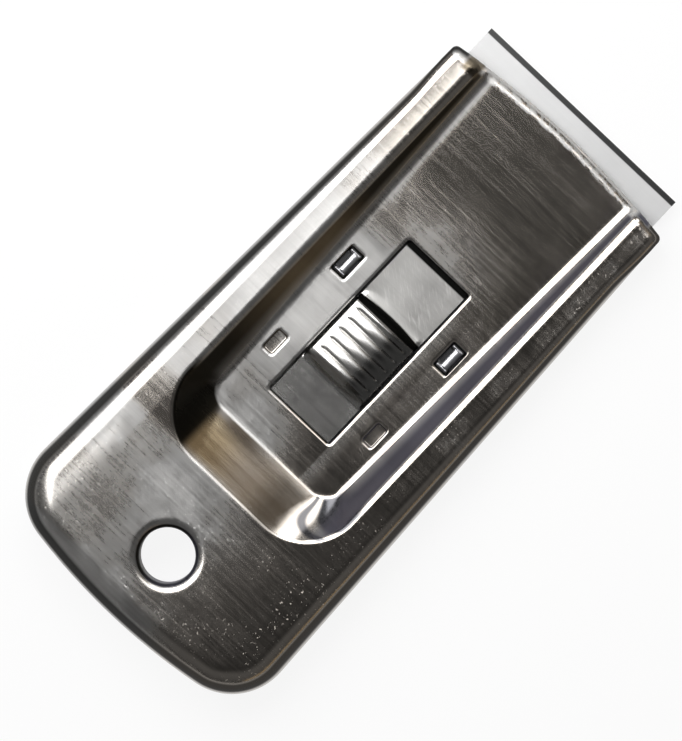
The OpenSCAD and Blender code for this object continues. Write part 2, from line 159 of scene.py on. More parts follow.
# %% Sizes of the body
SHEET = 0.7
X_TAIL, X_FRONT = -53.0, 49.0
FRONT_HALF, TAIL_HALF = 21.7, 25.5
MOUTH_ARC, TAIL_ARC = 139.0, 105.0
FRONT_CORNER, FRONT_FOOT, TAIL_CORNER = 2.0, 0.95, 10.0
BEND = 0.8
FLANGE = 4.5
PANEL_Z = 4.65
MOUTH_Z = 3.1
MOUTH_HALF = 19.8
FRONT_RISE, TAIL_RISE = 1.95, 6.3
MOUTH_EDGE, TAIL_EDGE = 1.3, 4.0
CREST_HALF = 16.8
DOME_FROM, DOME_LATE, DOME_FADE = 16.7, 1.35, 1.2
SLOPE = np.radians(48)
TAPER = np.arctan((TAIL_HALF - FRONT_HALF) / (X_FRONT - X_TAIL))
FRONT_AXIS = np.array([X_FRONT - MOUTH_ARC, 0.0])
TAIL_AXIS = np.array([X_TAIL + TAIL_ARC, 0.0])


def along(x):
    """Share of the body's length from the mouth to x."""
    return (X_FRONT - x) / (X_FRONT - X_TAIL)


def top_z(x):
    """Height of the rails and the tail: it climbs evenly from the mouth to the tail."""
    return PANEL_Z + FRONT_RISE + (TAIL_RISE - FRONT_RISE) * along(x)


def ease(share):
    """A smooth step from 0 to 1."""
    share = np.clip(share, 0, 1)
    return share * share * (3 - 2 * share)


def dome(x, y):
    """Fall of each rail from its crest to the start of its outer rounding, level at both ends."""
    run = 3.25 - 0.016 * x
    depth = 0.152 - 0.0006 * x
    share = np.clip((np.abs(y) - DOME_FROM) / run, 0, 1)
    return depth * ease(share ** DOME_LATE)


def settle(points):
    """Lower the points of the rails, but not those of the panel, by the dome."""
    fall = dome(points[..., 0], points[..., 1]) * ease((points[..., 2] - PANEL_Z) / DOME_FADE)
    return points - fall[..., None] * [0, 0, 1]


def floor_half(x):
    """Half width of the panel: the crest's half width less the run of the sloped wall."""
    return CREST_HALF - (top_z(x) - PANEL_Z) / np.tan(SLOPE)


def edge_radius(x):
    """Radius of the body's top edge, which grows evenly from the mouth to the tail."""
    return MOUTH_EDGE + (TAIL_EDGE - MOUTH_EDGE) * along(x)


def corner_centre(axis, radius, corner, way):
    """Centre of a corner that touches one straight side and the arch at one end."""
    normal = np.array([np.sin(TAPER), np.cos(TAPER)])
    line = np.array([np.cos(TAPER), -np.sin(TAPER)])
    reach = normal @ np.array([X_FRONT, FRONT_HALF]) - corner - normal @ axis
    return axis + reach * normal + way * np.sqrt((radius - corner) ** 2 - reach ** 2) * line


front_centre = corner_centre(FRONT_AXIS, MOUTH_ARC, FRONT_CORNER, 1)
foot_centre = corner_centre(FRONT_AXIS, MOUTH_ARC, FRONT_FOOT, 1)
tail_centre = corner_centre(TAIL_AXIS, TAIL_ARC, TAIL_CORNER, -1)
front_angle = np.degrees(np.arctan2(*(front_centre - FRONT_AXIS)[::-1]))
tail_angle = np.degrees(np.arctan2(*(tail_centre - TAIL_AXIS)[::-1]))
side_angle = 90 - np.degrees(TAPER)
print("corner centres", front_centre.round(2), tail_centre.round(2))

# %% [markdown]
# The recess is pressed down between the rails. Its wall is a section, carried along the edge of the panel: a
# small fillet at the panel, a straight slope, and a wider rounding at the crest. The two rear corners are hollowed
# like a bowl, which curves their reflections. A short flat band at each end of the section keeps the shading of the
# flat faces true, because smooth shading bends light at the last points.

# %% Recess wall
FLOOR_FILLET, CREST_FILLET, RAMP_FILLET = 2.2, 2.4, 1.7
BAND = 0.12
CORNER_SAG = 0.5
FLOOR_REAR, FLOOR_CORNER = -17.75, 3.0
CREST_REAR, CREST_CORNER = -26.75, 9.5


def wall_section(foot, crest):
    """Sections from the panel to the crest: fillet, straight slope and rounding, scaled to the local height.

    The hollow is deepest half-way up the wall, in a section that points half backwards and half sideways. It is none
    in the sections of the straight sides and of the ramp.
    """
    run = np.linalg.norm(crest - foot, axis=1)[:, None]
    aim = (crest - foot) / run
    rise = top_z(crest[:, :1]) - PANEL_Z
    slope = np.arctan(rise / run)
    low = slope * np.linspace(0, 1, 9)
    high = slope * np.linspace(1, 0, 13)
    half = np.tan(slope / 2)
    crest_fillet = RAMP_FILLET + (CREST_FILLET - RAMP_FILLET) * aim[:, 1:] ** 2
    middle = np.linspace(0, 1, 8)[1:-1]
    reach = [-FLOOR_FILLET * half - BAND, FLOOR_FILLET * (np.sin(low) - half),
             run - crest_fillet * (np.sin(high) - half), run + crest_fillet * half + BAND]
    lift = [0 * run, FLOOR_FILLET * (1 - np.cos(low)), rise - crest_fillet * (1 - np.cos(high)), rise]
    between = [a[:, -1:] + (b[:, :1] - a[:, -1:]) * middle for a, b in ((reach[1], reach[2]), (lift[1], lift[2]))]
    reach = np.concatenate([reach[0], reach[1], between[0], reach[2], reach[3]], axis=1)
    lift = np.concatenate([lift[0], lift[1], between[1], lift[2], lift[3]], axis=1)
    plan = foot[:, None] + reach[..., None] * aim[:, None]
    share = (reach - reach[:, :1]) / (reach[:, -1:] - reach[:, :1])
    hollow = CORNER_SAG * (2 * aim[:, :1] * aim[:, 1:]) ** 2 * (4 * share * (1 - share)) ** 2
    lift = lift * (top_z(plan[..., 0]) - PANEL_Z) / rise - hollow
    return np.concatenate([plan, PANEL_Z + lift[..., None]], axis=-1)


def arch_x(y, inset):
    """Place along x of the mouth's arch, moved back by inset, at a distance y from the middle."""
    return FRONT_AXIS[0] + np.sqrt((MOUTH_ARC - inset) ** 2 - y ** 2)


floor_tilt = np.degrees(np.arctan((TAIL_RISE - FRONT_RISE) / (X_FRONT - X_TAIL) / np.tan(SLOPE)))
floor_mid = FLOOR_REAR + FLOOR_CORNER
floor_centre = np.array([floor_mid, floor_half(floor_mid) - FLOOR_CORNER / np.cos(np.radians(floor_tilt))])
crest_centre = np.array([CREST_REAR + CREST_CORNER, CREST_HALF - CREST_CORNER])
sweep = np.linspace(0, 1, 37)
foot_turn, _ = arc(floor_centre, FLOOR_CORNER, 90 + floor_tilt + (90 - floor_tilt) * sweep)
crest_turn, _ = arc(crest_centre, CREST_CORNER, 90 + 90 * sweep)
rest = np.linspace(1, 0, 13)[1:, None]
foot_back = np.concatenate([foot_turn, foot_turn[-1] * [1, 0] + rest * foot_turn[-1] * [0, 1]])
crest_back = np.concatenate([crest_turn, crest_turn[-1] * [1, 0] + rest * crest_turn[-1] * [0, 1]])
wall_back = wall_section(foot_back, crest_back)
x_out = X_FRONT + 2
wall_out = wall_section(np.array([[x_out, floor_half(x_out)]]), np.array([[x_out, CREST_HALF]]))[0]
print("wall section:", wall_out.shape[0], "points,", len(wall_back), "sections behind the straight part")

# %% [markdown]
# At the mouth the sheet rolls down over a small radius, both the panel's lip and the ends of the rails. The wall's
# lines are straight there, so each one is followed forwards until it meets the start of that roll.

# %% Where the recess meets the mouth
LIP_RADIUS, RAIL_ROLL = 1.55, 1.9
WIDE_BAND, NARROW_BAND = 0.3, 0.06


def share_of_rise(z):
    """Share of the recess wall's height at the mouth, from the panel to the rail's top."""
    return np.clip((z - PANEL_Z) / FRONT_RISE, 0, 1)


def roll_radius(z):
    """Radius of the roll at the mouth, from the lip's to the rail's."""
    return LIP_RADIUS + (RAIL_ROLL - LIP_RADIUS) * share_of_rise(z)


def roll_band(z):
    """Width of the flat band behind the roll."""
    return WIDE_BAND - (WIDE_BAND - NARROW_BAND) * share_of_rise(z)


def meet_mouth(inset):
    """Follow each straight wall line from the corner forwards to the mouth's arch moved back by inset."""
    start, end = wall_out, wall_back[0]
    place = start
    for _ in range(4):
        x = arch_x(place[:, 1], inset(place[:, 2]))
        share = (x - start[:, 0]) / (end[:, 0] - start[:, 0])
        place = start + share[:, None] * (end - start)
    return place


wall_lip = meet_mouth(roll_radius)
wall_front = meet_mouth(lambda z: roll_radius(z) + roll_band(z))
steps = np.linspace(0, 1, 61)[:-1, None, None]
wall_half = np.concatenate([wall_front + steps * (wall_back[0] - wall_front), wall_back])
MIRROR = np.array([1, -1, 1])
wall = settle(np.concatenate([wall_half, wall_half[-2::-1] * MIRROR]))
wall_grid = (wall.reshape(-1, 3), grid_faces(*wall.shape[:2]))
print("recess wall:", wall.shape[0], "sections of", wall.shape[1])

# %% [markdown]
# The outline is walked once round from the middle of the mouth. Each place on it has a section of its own: the
# rounding of the top edge, the wall with its slight lean, the bend and the flange that is folded under. At the
# front the same section starts from the panel, the recess wall or the rail's top. The two front corners are tighter
# at the foot of the wall than at the top, so each place there also has a small step outwards. The whole outline is
# moved in by a hundredth of a millimetre, to stay inside the box of the solids.

# %% Places along the outline
CLEAR = 0.01
RELIEF_Y, RELIEF_HALF = 12.9, 0.5


def on_mouth(y):
    """Places on the mouth's arch at distances y from the middle, and the outward directions."""
    return arc(FRONT_AXIS, MOUTH_ARC, np.degrees(np.arcsin(y / MOUTH_ARC)))


panel_lip_y = np.linspace(0, 1, 25)[:-1] * wall_lip[0, 1]
panel_place, panel_out = on_mouth(panel_lip_y)
lip_angle = np.degrees(np.arctan2(wall_lip[:, 1], wall_lip[:, 0] - FRONT_AXIS[0]))
ridge_place, ridge_out = arc(FRONT_AXIS, MOUTH_ARC, lip_angle)
rail_place, rail_out = on_mouth(np.linspace(wall_lip[-1, 1], MOUTH_HALF, 5)[1:])
nose_angle = np.linspace(front_angle, side_angle, 15)
nose_place, nose_out = arc(front_centre, FRONT_CORNER, nose_angle)
heel_place, heel_out = arc(tail_centre, TAIL_CORNER, np.linspace(side_angle, tail_angle, 33))
side_place = nose_place[-1] + np.linspace(0, 1, 61)[1:-1, None] * (heel_place[0] - nose_place[-1])
side_out = np.repeat(nose_out[-1:], len(side_place), axis=0)
RELIEF = RELIEF_Y + RELIEF_HALF * np.array([1, 0.5, 0, -0.5, -1])
tail_y = np.concatenate([np.linspace(heel_place[-1, 1], RELIEF[0], 8)[1:-1], RELIEF,
                         np.linspace(RELIEF[-1], 0, 16)[1:]])
tail_place, tail_out = arc(TAIL_AXIS, TAIL_ARC, 180 - np.degrees(np.arcsin(tail_y / TAIL_ARC)))
half_place = np.concatenate([panel_place, ridge_place, rail_place, nose_place, side_place, heel_place, tail_place])
ridge_from = len(panel_place)
rail_from = ridge_from + len(ridge_place)
side_from = rail_from + len(rail_place) + len(nose_place)
half_out = np.concatenate([panel_out, ridge_out, rail_out, nose_out, side_out, heel_out, tail_out])
half_place = half_place - CLEAR * half_out
sharpen = np.zeros_like(half_place)
sharpen[rail_from + len(rail_place):side_from] = arc(foot_centre, FRONT_FOOT, nose_angle)[0] - nose_place
print("places along half the outline:", len(half_place))

# %% [markdown]
# The section is worked out for every place at once. The rounding ends where its slope equals the lean of the
# wall, so the two meet without a crease. The lean dies away towards the mouth.

# %% Section of the rim
WALL_DRAFT = np.tan(np.radians(8))
LEAN_FADE, LEAN_RUN = 36.0, 9.5
NOSE_X, NOSE_RUN = 45.0, 6.0
WALL_FOOT = 0.95
BEND_ANGLES = np.radians([90, 82.82, 65, 45, 25, 0])


def edge_rings(place, out, step):
    """Rings of the top edge, wall, bend and flange; each row is one ring, from the plateau to the flange's end."""
    count = len(place)
    ridge = np.arange(ridge_from, rail_from)
    front = ease((place[:, 0] - LEAN_FADE) / LEAN_RUN)
    lean = WALL_DRAFT * (1 - front)
    fixed = np.zeros(count)
    fixed[:ridge_from] = 1
    fixed[ridge] = 1 - share_of_rise(wall_lip[:, 2])
    base = np.full(count, PANEL_Z)
    base[ridge] = wall_lip[:, 2]
    anchor = np.zeros(count)
    anchor[ridge] = top_z(wall_lip[:, 0])
    radius = edge_radius(place[:, 0]) + (RAIL_ROLL - edge_radius(place[:, 0])) * front
    radius[:ridge_from] = LIP_RADIUS
    radius[ridge] = roll_radius(wall_lip[:, 2])
    band = NARROW_BAND + (WIDE_BAND - NARROW_BAND) * np.clip((NOSE_X - place[:, 0]) / NOSE_RUN, 0, 1)
    band[:ridge_from] = WIDE_BAND

    def ceiling(x):
        """Height that the rounding starts from: the panel, the recess wall or the rail's top."""
        level = top_z(x)
        level[:ridge_from] = PANEL_Z
        level[ridge] = base[ridge] + (1 - fixed[ridge]) * (level[ridge] - anchor[ridge])
        return level

    tilt = np.arctan(lean)
    level = ceiling(place[:, 0] - radius * out[:, 0])
    centre = radius * np.cos(tilt) + (level - radius + radius * np.sin(tilt) - BEND) * lean
    rings = []
    plan = place - (centre + band)[:, None] * out
    rings.append(np.column_stack([plan, ceiling(plan[:, 0])]))
    for share in np.linspace(0, 1, 15):
        angle = np.pi / 2 + (tilt - np.pi / 2) * share
        plan = place - (centre - radius * np.cos(angle))[:, None] * out + share ** 2 * step
        rings.append(np.column_stack([plan, ceiling(plan[:, 0]) - radius + radius * np.sin(angle)]))
    last, place = rings[-1][:, 2], place + step
    for z in (MOUTH_Z + 0.5 * np.maximum(last - MOUTH_Z, 0), np.full(count, MOUTH_Z), np.full(count, WALL_FOOT)):
        rings.append(np.column_stack([place - ((z - BEND) * lean)[:, None] * out, z]))
    for angle in BEND_ANGLES:
        plan = place - BEND * (1 - np.sin(angle)) * out
        rings.append(np.column_stack([plan, np.full(count, BEND * (1 - np.cos(angle)))]))
    inner = place - FLANGE * out
    rings.append(np.column_stack([0.5 * (inner + rings[-1][:, :2]), np.zeros(count)]))
    rings.append(np.column_stack([inner, np.zeros(count)]))
    rings[0][ridge] = wall_front
    rings[1][ridge] = wall_lip
    return np.stack(rings)


rim_half = settle(edge_rings(half_place, half_out, sharpen))
rows, columns = rim_half.shape[:2]
print("rim:", rows, "rings of", columns, "places on each half")

# %% [markdown]
# The rings become a grid of cells. Those inside the mouth and inside the two relief cuts of the tail's flange are left
# out. The flange ends in a toe beside the mouth, which is a flat region of its own.

# %% Rim, walls and flange
MOUTH_ROW, CUT_ROW, BEND_ROW = 17, 18, 19
FLANGE_RINGS = 3
flange_from = ridge_from + int(np.argmin(np.abs(ridge_place[:, 1] - (FRONT_HALF - FLANGE))))
ring = np.arange(rows - 1)[:, None]
cell = np.arange(columns - 1)[None, :]
middle_y = 0.5 * (half_place[:-1, 1] + half_place[1:, 1])[None, :]
tail_cell = side_from + len(side_place) + len(heel_place)
keep = ~((ring >= MOUTH_ROW) & (cell < flange_from))
keep &= ~((ring >= MOUTH_ROW) & (ring <= BEND_ROW) & (cell < rail_from + len(rail_place) - 1))
keep &= ~((ring >= CUT_ROW) & (cell >= tail_cell) & (np.abs(middle_y - RELIEF_Y) < RELIEF_HALF))
keep &= ~((ring >= rows - FLANGE_RINGS) & (cell < side_from))
rim_cells = grid_faces(rows, columns, keep)
rim_grid = (rim_half.reshape(-1, 3), rim_cells[:, ::-1])
rim_mirror = ((rim_half * MIRROR).reshape(-1, 3), rim_cells)
toe_loop = np.concatenate([rim_half[-FLANGE_RINGS, flange_from:side_from + 1, :2], rim_half[-2:, side_from, :2]])
toe_points, toe_cells = flat_sheet([toe_loop], lambda x, y: 0 * x)
toe_grids = [(toe_points, toe_cells[:, ::-1]), (toe_points * MIRROR, toe_cells)]
print("rim and walls:", len(rim_cells), "cells on each half")

# %% [markdown]
# Openings are rounded rectangles, drawn as loops one inside the other. The windows and dimples lie close to the recess
# wall, so their loops are narrower on that side.

# %% Loops of the openings
SLOT = (4.9, 0.0, 32.1, 13.4, 0.8)
WINDOWS = [(11.55, side * 10.8, 5.4, 3.3, 0.6) for side in (1, -1)]
DIMPLES = [(-4.95, side * 10.55, 4.2, 2.5, 0.7) for side in (1, -1)]
WINDOW_ROOM, DIMPLE_ROOM = -0.08, -0.03
RING, BOW = 0.35, 0.01


def rounded_loop(opening, offset):
    """A rounded rectangle, moved outwards by offset: four corner arcs, and sides that bow out by a few microns."""
    x, y, length, width, radius = opening
    centres = np.array([x, y]) + (np.array([length, width]) / 2 - radius) * [(1, 1), (-1, 1), (-1, -1), (1, -1)]
    corners = [arc(centre, radius + offset, np.linspace(start, start + 90, 11))[0]
               for centre, start in zip(centres, (0, 90, 180, 270))]
    share = np.linspace(0, 1, 9)[1:-1, None]
    bow = BOW * share * (1 - share)
    sides = [a[-1] + share * (b[0] - a[-1]) + bow * (a[-1] - centre)
             for a, b, centre in zip(corners, corners[1:] + corners[:1], centres)]
    return np.concatenate([part for pair in zip(corners, sides) for part in pair])


def beside_wall(opening, offset, last, room):
    """A loop narrowed beside the recess wall: there the widest loop moves out by room and the innermost by last."""
    _, y, _, width, radius = opening
    loop = rounded_loop(opening, offset)
    own = last + (offset - last) * (room - last) / (RING - last)
    beyond = np.maximum(np.abs(loop[:, 1]) - (abs(y) + width / 2 - radius), 0)
    loop[:, 1] -= np.sign(y) * beyond * (1 - (radius + own) / (radius + offset))
    return loop


def loop_strip(loops, heights):
    """A closed strip of cells through loops, from the outside in; heights gives z for each loop."""
    rings = [np.column_stack([loop, np.broadcast_to(z, len(loop))]) for loop, z in zip(loops, heights)]
    rings = np.stack([np.concatenate([ring, ring[:1]]) for ring in rings])
    return rings.reshape(-1, 3), grid_faces(*rings.shape[:2])


print("openings to draw:", 1 + len(WINDOWS) + len(DIMPLES))

# %% [markdown]
# A punch pulls the sheet down a little as it cuts, so each edge has a narrow band that rolls into the opening and
# catches the light. The radius of that roll is larger than the sheet is thick, so that the underside doesn't fold
# over itself.

# %% Punched openings
EDGE_ROUND, ROLL_TURN, ROLL_END = 0.76, np.radians(39), -0.25
turn = ROLL_TURN * np.linspace(0, 1, 7)
roll_offset = np.concatenate([[RING], ROLL_END + EDGE_ROUND * (np.sin(ROLL_TURN) - np.sin(turn))])
roll_z = np.concatenate([[PANEL_Z], PANEL_Z - EDGE_ROUND * (1 - np.cos(turn))])
slot_loops = [rounded_loop(SLOT, offset) for offset in roll_offset]
window_loops = [[beside_wall(opening, offset, ROLL_END, WINDOW_ROOM) for offset in roll_offset] for opening in WINDOWS]
punched = [loop_strip(loops, roll_z) for loops in [slot_loops] + window_loops]
print("punched:", len(punched), "openings of", len(roll_z), "loops")

# %% [markdown]
# The dimples are pressed and not cut: an arc down, an arc back to level and a flat floor.

# %% Dimples
DIMPLE_DEPTH, DIMPLE_ROUND, DIMPLE_START = 0.4, 0.2, 0.28
dimple_turn = np.arccos(1 - DIMPLE_DEPTH / (EDGE_ROUND + DIMPLE_ROUND))
down, up = dimple_turn * np.linspace(0, 1, 9), dimple_turn * np.linspace(1, 0, 6)[1:]
dimple_run = np.concatenate([EDGE_ROUND * np.sin(down),
                             (EDGE_ROUND + DIMPLE_ROUND) * np.sin(dimple_turn) - DIMPLE_ROUND * np.sin(up)])
dimple_drop = np.concatenate([EDGE_ROUND * (1 - np.cos(down)), DIMPLE_DEPTH - DIMPLE_ROUND * (1 - np.cos(up))])
dimple_offset = np.concatenate([[RING], DIMPLE_START - dimple_run])
dimple_z = np.concatenate([[PANEL_Z], PANEL_Z - dimple_drop])
dimple_loops = [[beside_wall(opening, offset, dimple_offset[-1], DIMPLE_ROOM) for offset in dimple_offset]
                for opening in DIMPLES]
pressed = [loop_strip(loops, dimple_z) for loops in dimple_loops]
pressed += [flat_sheet([loops[-1]], lambda x, y: 0 * x + dimple_z[-1]) for loops in dimple_loops]
print("pressed:", len(DIMPLES), "dimples of", len(dimple_z), "loops")

# %% [markdown]
# The hanging hole is drawn down into a short tube: a rounding at the top, which follows the slope of the tail,
# and a straight bore to the back.

# %% Hanging hole
HOLE_X, HOLE_RADIUS, HOLE_ROUND = -40.05, 4.3, 1.6
HOLE_BAND, HOLE_END, TUBE_RINGS = 0.3, 0.2, 5
full_turn = np.linspace(0, 360, 145)
bend_angle = np.radians(np.linspace(90, 180, 15))
hole_reach = np.concatenate([[HOLE_RADIUS + HOLE_ROUND + HOLE_BAND],
                             HOLE_RADIUS + HOLE_ROUND * (1 + np.cos(bend_angle)), np.full(TUBE_RINGS, HOLE_RADIUS)])
hole_drop = np.concatenate([[0], HOLE_ROUND * (1 - np.sin(bend_angle))])
hole_plan = np.stack([arc((HOLE_X, 0), reach, full_turn)[0] for reach in hole_reach])
hole_z = top_z(hole_plan[:-TUBE_RINGS, :, 0]) - hole_drop[:, None]
tube = np.linspace(0, 1, TUBE_RINGS + 1)[1:, None]
hole_z = np.concatenate([hole_z, hole_z[-1:] + tube * (HOLE_END - hole_z[-1:])])
hole = np.concatenate([hole_plan, hole_z[..., None]], axis=-1)
hole_grid = (hole.reshape(-1, 3), grid_faces(*hole.shape[:2]))
print("hole:", hole.shape[0], "rings")

# %% [markdown]
# The panel and the plateau of the rails and tail are flat, so they need no grid: each is the region between its
# boundary and the loops of its openings. A few lines of points follow the tail's edge, where the dome bends the
# plateau a little. All the patches then become one sheet, which gets its thickness from a Solidify modifier. A narrow
# Bevel breaks its cut edges and keeps the shading of the faces beside them apart.

# %% Body sheet
CUT_ROUND, CUT_ANGLE = 0.15, np.radians(50)
TAIL_X, TAIL_LINES = -30.0, (0.9, 1.9, 3.0, 4.2)
lip_line = rim_half[0, :ridge_from, :2]
floor_edge = wall[:, 0, :2]
panel_loop = np.concatenate([lip_line, floor_edge, (lip_line * [1, -1])[:0:-1]])
panel_holes = [loops[0] for loops in [slot_loops] + window_loops + dimple_loops]
panel = flat_sheet([panel_loop] + panel_holes, lambda x, y: 0 * x + PANEL_Z)
rail_edge = rim_half[0, rail_from:, :2]
crest_edge = wall[:, -1, :2]
plateau_loop = np.concatenate([rail_edge, (rail_edge * [1, -1])[-2::-1], crest_edge[::-1]])
tail_from = side_from + int(np.argmax(half_place[side_from:, 0] < TAIL_X))
inset = [rim_half[0, tail_from:, :2] - reach * half_out[tail_from:] for reach in TAIL_LINES]
inset += [ring * [1, -1] for ring in inset]
plateau = flat_sheet([plateau_loop, hole[0, :-1, :2]], lambda x, y: top_z(x) - dome(x, y), inset)
patches = [wall_grid, rim_grid, rim_mirror, hole_grid, panel, plateau] + toe_grids + punched + pressed
body = join_grids("pressed_body", patches)


def sheet_metal(piece, thickness, rounding):
    """Thickness behind the drawn face, and a narrow break on every cut edge."""
    wall = piece.modifiers.new("thickness", "SOLIDIFY")
    wall.thickness = thickness * MM
    wall.offset = -1
    edge = piece.modifiers.new("cut edges", "BEVEL")
    edge.width = rounding * MM
    edge.segments = 1
    edge.limit_method = "ANGLE"
    edge.angle_limit = CUT_ANGLE
    edge.harden_normals = True


sheet_metal(body, SHEET, CUT_ROUND)
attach(body, "handle")
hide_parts("body_shell")
print("body:", len(body.data.polygons), "faces before its thickness")

# %% [markdown]
# The thumb slide is a flat strip in the slot, with a pad drawn up from it. The pad's top is crowned across its
# width and carries six wide ribs, parted by five narrow grooves. Its rear ramp has a small step in it, and the plate
# bulges a little ahead of the pad. All of it is one height over the strip's plan, so it is drawn as a height field
# whose lines crowd where the pad is steep.

# %% Thumb slide
SLIDE_TOP, SLIDE_SHEET, SLIDE_HALF = 3.8, 0.6, 6.05
SLIDE_REAR, SLIDE_FRONT = -23.05, 33.05
PAD_RISE, GROOVE, RIB_PITCH, MIDDLE_GROOVE = 2.8, 0.5, 2.0, 3.35
PAD_FRONT, FRONT_RUN, PAD_REAR, REAR_RUN = 9.9, 1.9, -4.0, 2.6
STEP_X, STEP_RUN, STEP_SHARE = -2.9, 0.6, 0.2
RIBS_FRONT, RIBS_REAR, RIBS_HALF = 8.9, -2.6, 5.5
CROWN, SIDE_RUN = 0.6, 0.3
BULGE, BULGE_TOP, BULGE_FOOT, BULGE_ARCH = 0.13, 10.0, 10.6, 1.6


def slide_height(x, y):
    """Height of the slide: the pad's two ramps, its crown, the grooves between its ribs and a bulge ahead of it."""
    y = np.abs(y)
    rear = STEP_SHARE * ease((x - STEP_X) / STEP_RUN) + (1 - STEP_SHARE) * ease((x - PAD_REAR) / REAR_RUN)
    pad = ease((PAD_FRONT - x) / FRONT_RUN) * rear
    crown = (1 - CROWN * (y / SLIDE_HALF) ** 2) * ease((SLIDE_HALF - y) / SIDE_RUN)
    ribbed = ease((RIBS_FRONT - x) / 0.6) * ease((x - RIBS_REAR) / 0.6) * ease((RIBS_HALF - y) / 1.4)
    rib = np.abs(np.cos(np.pi * ((x - MIDDLE_GROOVE) / RIB_PITCH - 0.5))) ** 0.5
    foot = BULGE_FOOT + BULGE_ARCH * (1 - (y / SLIDE_HALF) ** 2)
    bulge = BULGE * np.clip((foot - x) / (foot - BULGE_TOP), 0, 1) ** 2 * ease((SLIDE_HALF - y) / 0.8)
    return SLIDE_TOP + PAD_RISE * pad * crown - GROOVE * ribbed * (1 - rib) + bulge * (1 - pad) * (x > 3)


slide_x = np.concatenate([np.linspace(SLIDE_REAR, -4.4, 14), np.linspace(-4.2, 12.2, 275),
                          np.linspace(12.8, SLIDE_FRONT, 14)])
slide_y = np.concatenate([np.linspace(-SLIDE_HALF, -4.8, 22), np.linspace(-4.6, 4.6, 29),
                          np.linspace(4.8, SLIDE_HALF, 22)])
across, down = np.meshgrid(slide_y, slide_x)
slide_points = np.stack([down, across, slide_height(down, across)], axis=-1)
slide = join_grids("ribbed_slide", [(slide_points.reshape(-1, 3), grid_faces(*slide_points.shape[:2])[:, ::-1])])
sheet_metal(slide, SLIDE_SHEET, CUT_ROUND)
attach(slide, "carriage")
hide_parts("thumb_slide")
print("slide: pad top at", round(float(slide_points[..., 2].max()), 2), "mm")

# %% [markdown]
# The detent spring is a thin leaf under the panel. Each of its two arms ends in a raised pip that shows in a
# window: a narrow ridge between two cross bars. It too is a height field.

# %% Detent spring
SPRING_Z, SPRING_SHEET, SPRING_CUT = 2.95, 0.25, 0.05
ARM_HALF, WINDOW_X, WINDOW_Y = 1.2, 11.55, 10.8
BASE_X, BASE_END, BASE_LINES = 28.25, 33.05, 7
ARM_END, ARM_RUN, ARM_RISE = 8.9, 14.0, 0.6
PIP, PIP_HALF, RIDGE_SHIFT, RIDGE_HALF = 0.62, 2.0, 0.25, 0.75
BAR_X, BAR_HALF, BAR_WIDTH, BAR_SHARE = 1.85, 1.25, 0.3, 0.7


def arm_height(x, y):
    """Height of an arm's top: a slow rise from the base, then the ridge and the bars of its pip."""
    rise = SPRING_Z + SPRING_SHEET + ARM_RISE * ease((BASE_X - x) / ARM_RUN)
    place = np.abs(x - WINDOW_X)
    ridge = np.sqrt(np.clip(1 - ((y + RIDGE_SHIFT) / RIDGE_HALF) ** 2, 0, 1)) * ease((PIP_HALF - place) / 0.5)
    bar = BAR_SHARE * np.exp(-((place - BAR_X) / BAR_WIDTH) ** 2) * ease((BAR_HALF - np.abs(y)) / 0.4)
    return rise + PIP * np.maximum(ridge, bar)


arm_x = np.concatenate([np.linspace(ARM_END, 14.2, 72), np.linspace(14.8, 27.6, 12),
                        np.linspace(BASE_X, BASE_END, BASE_LINES)])
arm_y = np.linspace(-ARM_HALF, ARM_HALF, 41)
across, down = np.meshgrid(arm_y, arm_x)
arm_points = np.stack([down, across, arm_height(down, across)], axis=-1)
base = arm_points[-BASE_LINES:, :1] * [1, 0, 1] + np.linspace(-1, 1, 13)[:, None] * [0, WINDOW_Y - ARM_HALF, 0]
spring_grids = [((points + [0, shift, 0]).reshape(-1, 3), grid_faces(*points.shape[:2])[:, ::-1])
                for points, shift in ((arm_points, WINDOW_Y), (arm_points, -WINDOW_Y), (base, 0))]
spring = join_grids("leaf_spring", spring_grids)
sheet_metal(spring, SPRING_SHEET, SPRING_CUT)
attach(spring, "carriage")
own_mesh(spring)
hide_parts("detent_spring")
print("spring: pips at", round(float(arm_points[..., 2].max()), 2), "mm")

# %% [markdown]
# Shader sums are written as Python expressions. One small class wraps a socket: each operator adds a Math node,
# and one method adds any other node.

# %% Shader helper
class Wire:
    """A shader socket that takes part in Python sums."""

    def __init__(self, tree, socket=None):
        self.tree = tree
        self.socket = socket

    def node(self, kind, settings=None, sockets=None, out=0):
        """Add a node, set its properties, then give its sockets values or links; returns one output."""
        made = self.tree.nodes.new(kind)
        for name, value in (settings or {}).items():
            setattr(made, name, value)
        for name, value in (sockets or {}).items():
            if isinstance(value, Wire):
                self.tree.links.new(value.socket, made.inputs[name])
            else:
                made.inputs[name].default_value = value
        return Wire(self.tree, made.outputs[out] if len(made.outputs) else None)

    def sum(self, operation, *values):
        """One Math node of the given kind."""
        return self.node("ShaderNodeMath", {"operation": operation}, dict(enumerate(values)))

    def __add__(self, other):
        return self.sum("ADD", self, other)

    def __radd__(self, other):
        return self.sum("ADD", other, self)

    def __sub__(self, other):
        return self.sum("SUBTRACT", self, other)

    def __rsub__(self, other):
        return self.sum("SUBTRACT", other, self)

    def __mul__(self, other):
        return self.sum("MULTIPLY", self, other)

    def __rmul__(self, other):
        return self.sum("MULTIPLY", other, self)


def new_finish(name):
    """An empty material and the wire that adds its nodes."""
    material = bpy.data.materials.new(name)
    material.use_nodes = True
    material.node_tree.nodes.clear()
    return material, Wire(material.node_tree)


print("shader helper ready")

# %% [markdown]
# Stainless sheet is brushed across its width before it is pressed, and use adds clouds, scratches and specks. The
# brush marks are a noise stretched along y. A rougher patch scatters the lamp's light upwards and so looks paler,
# as a scuff does on real steel, so most of the wear goes into the roughness.

# %% Steel
BRUSH_DEPTH = 0.02
# The colour of painted shade: a near-black matte coat laid where shade falls or dark reflections show.
SHADE_COLOUR = (0.002, 0.002, 0.0018, 1)


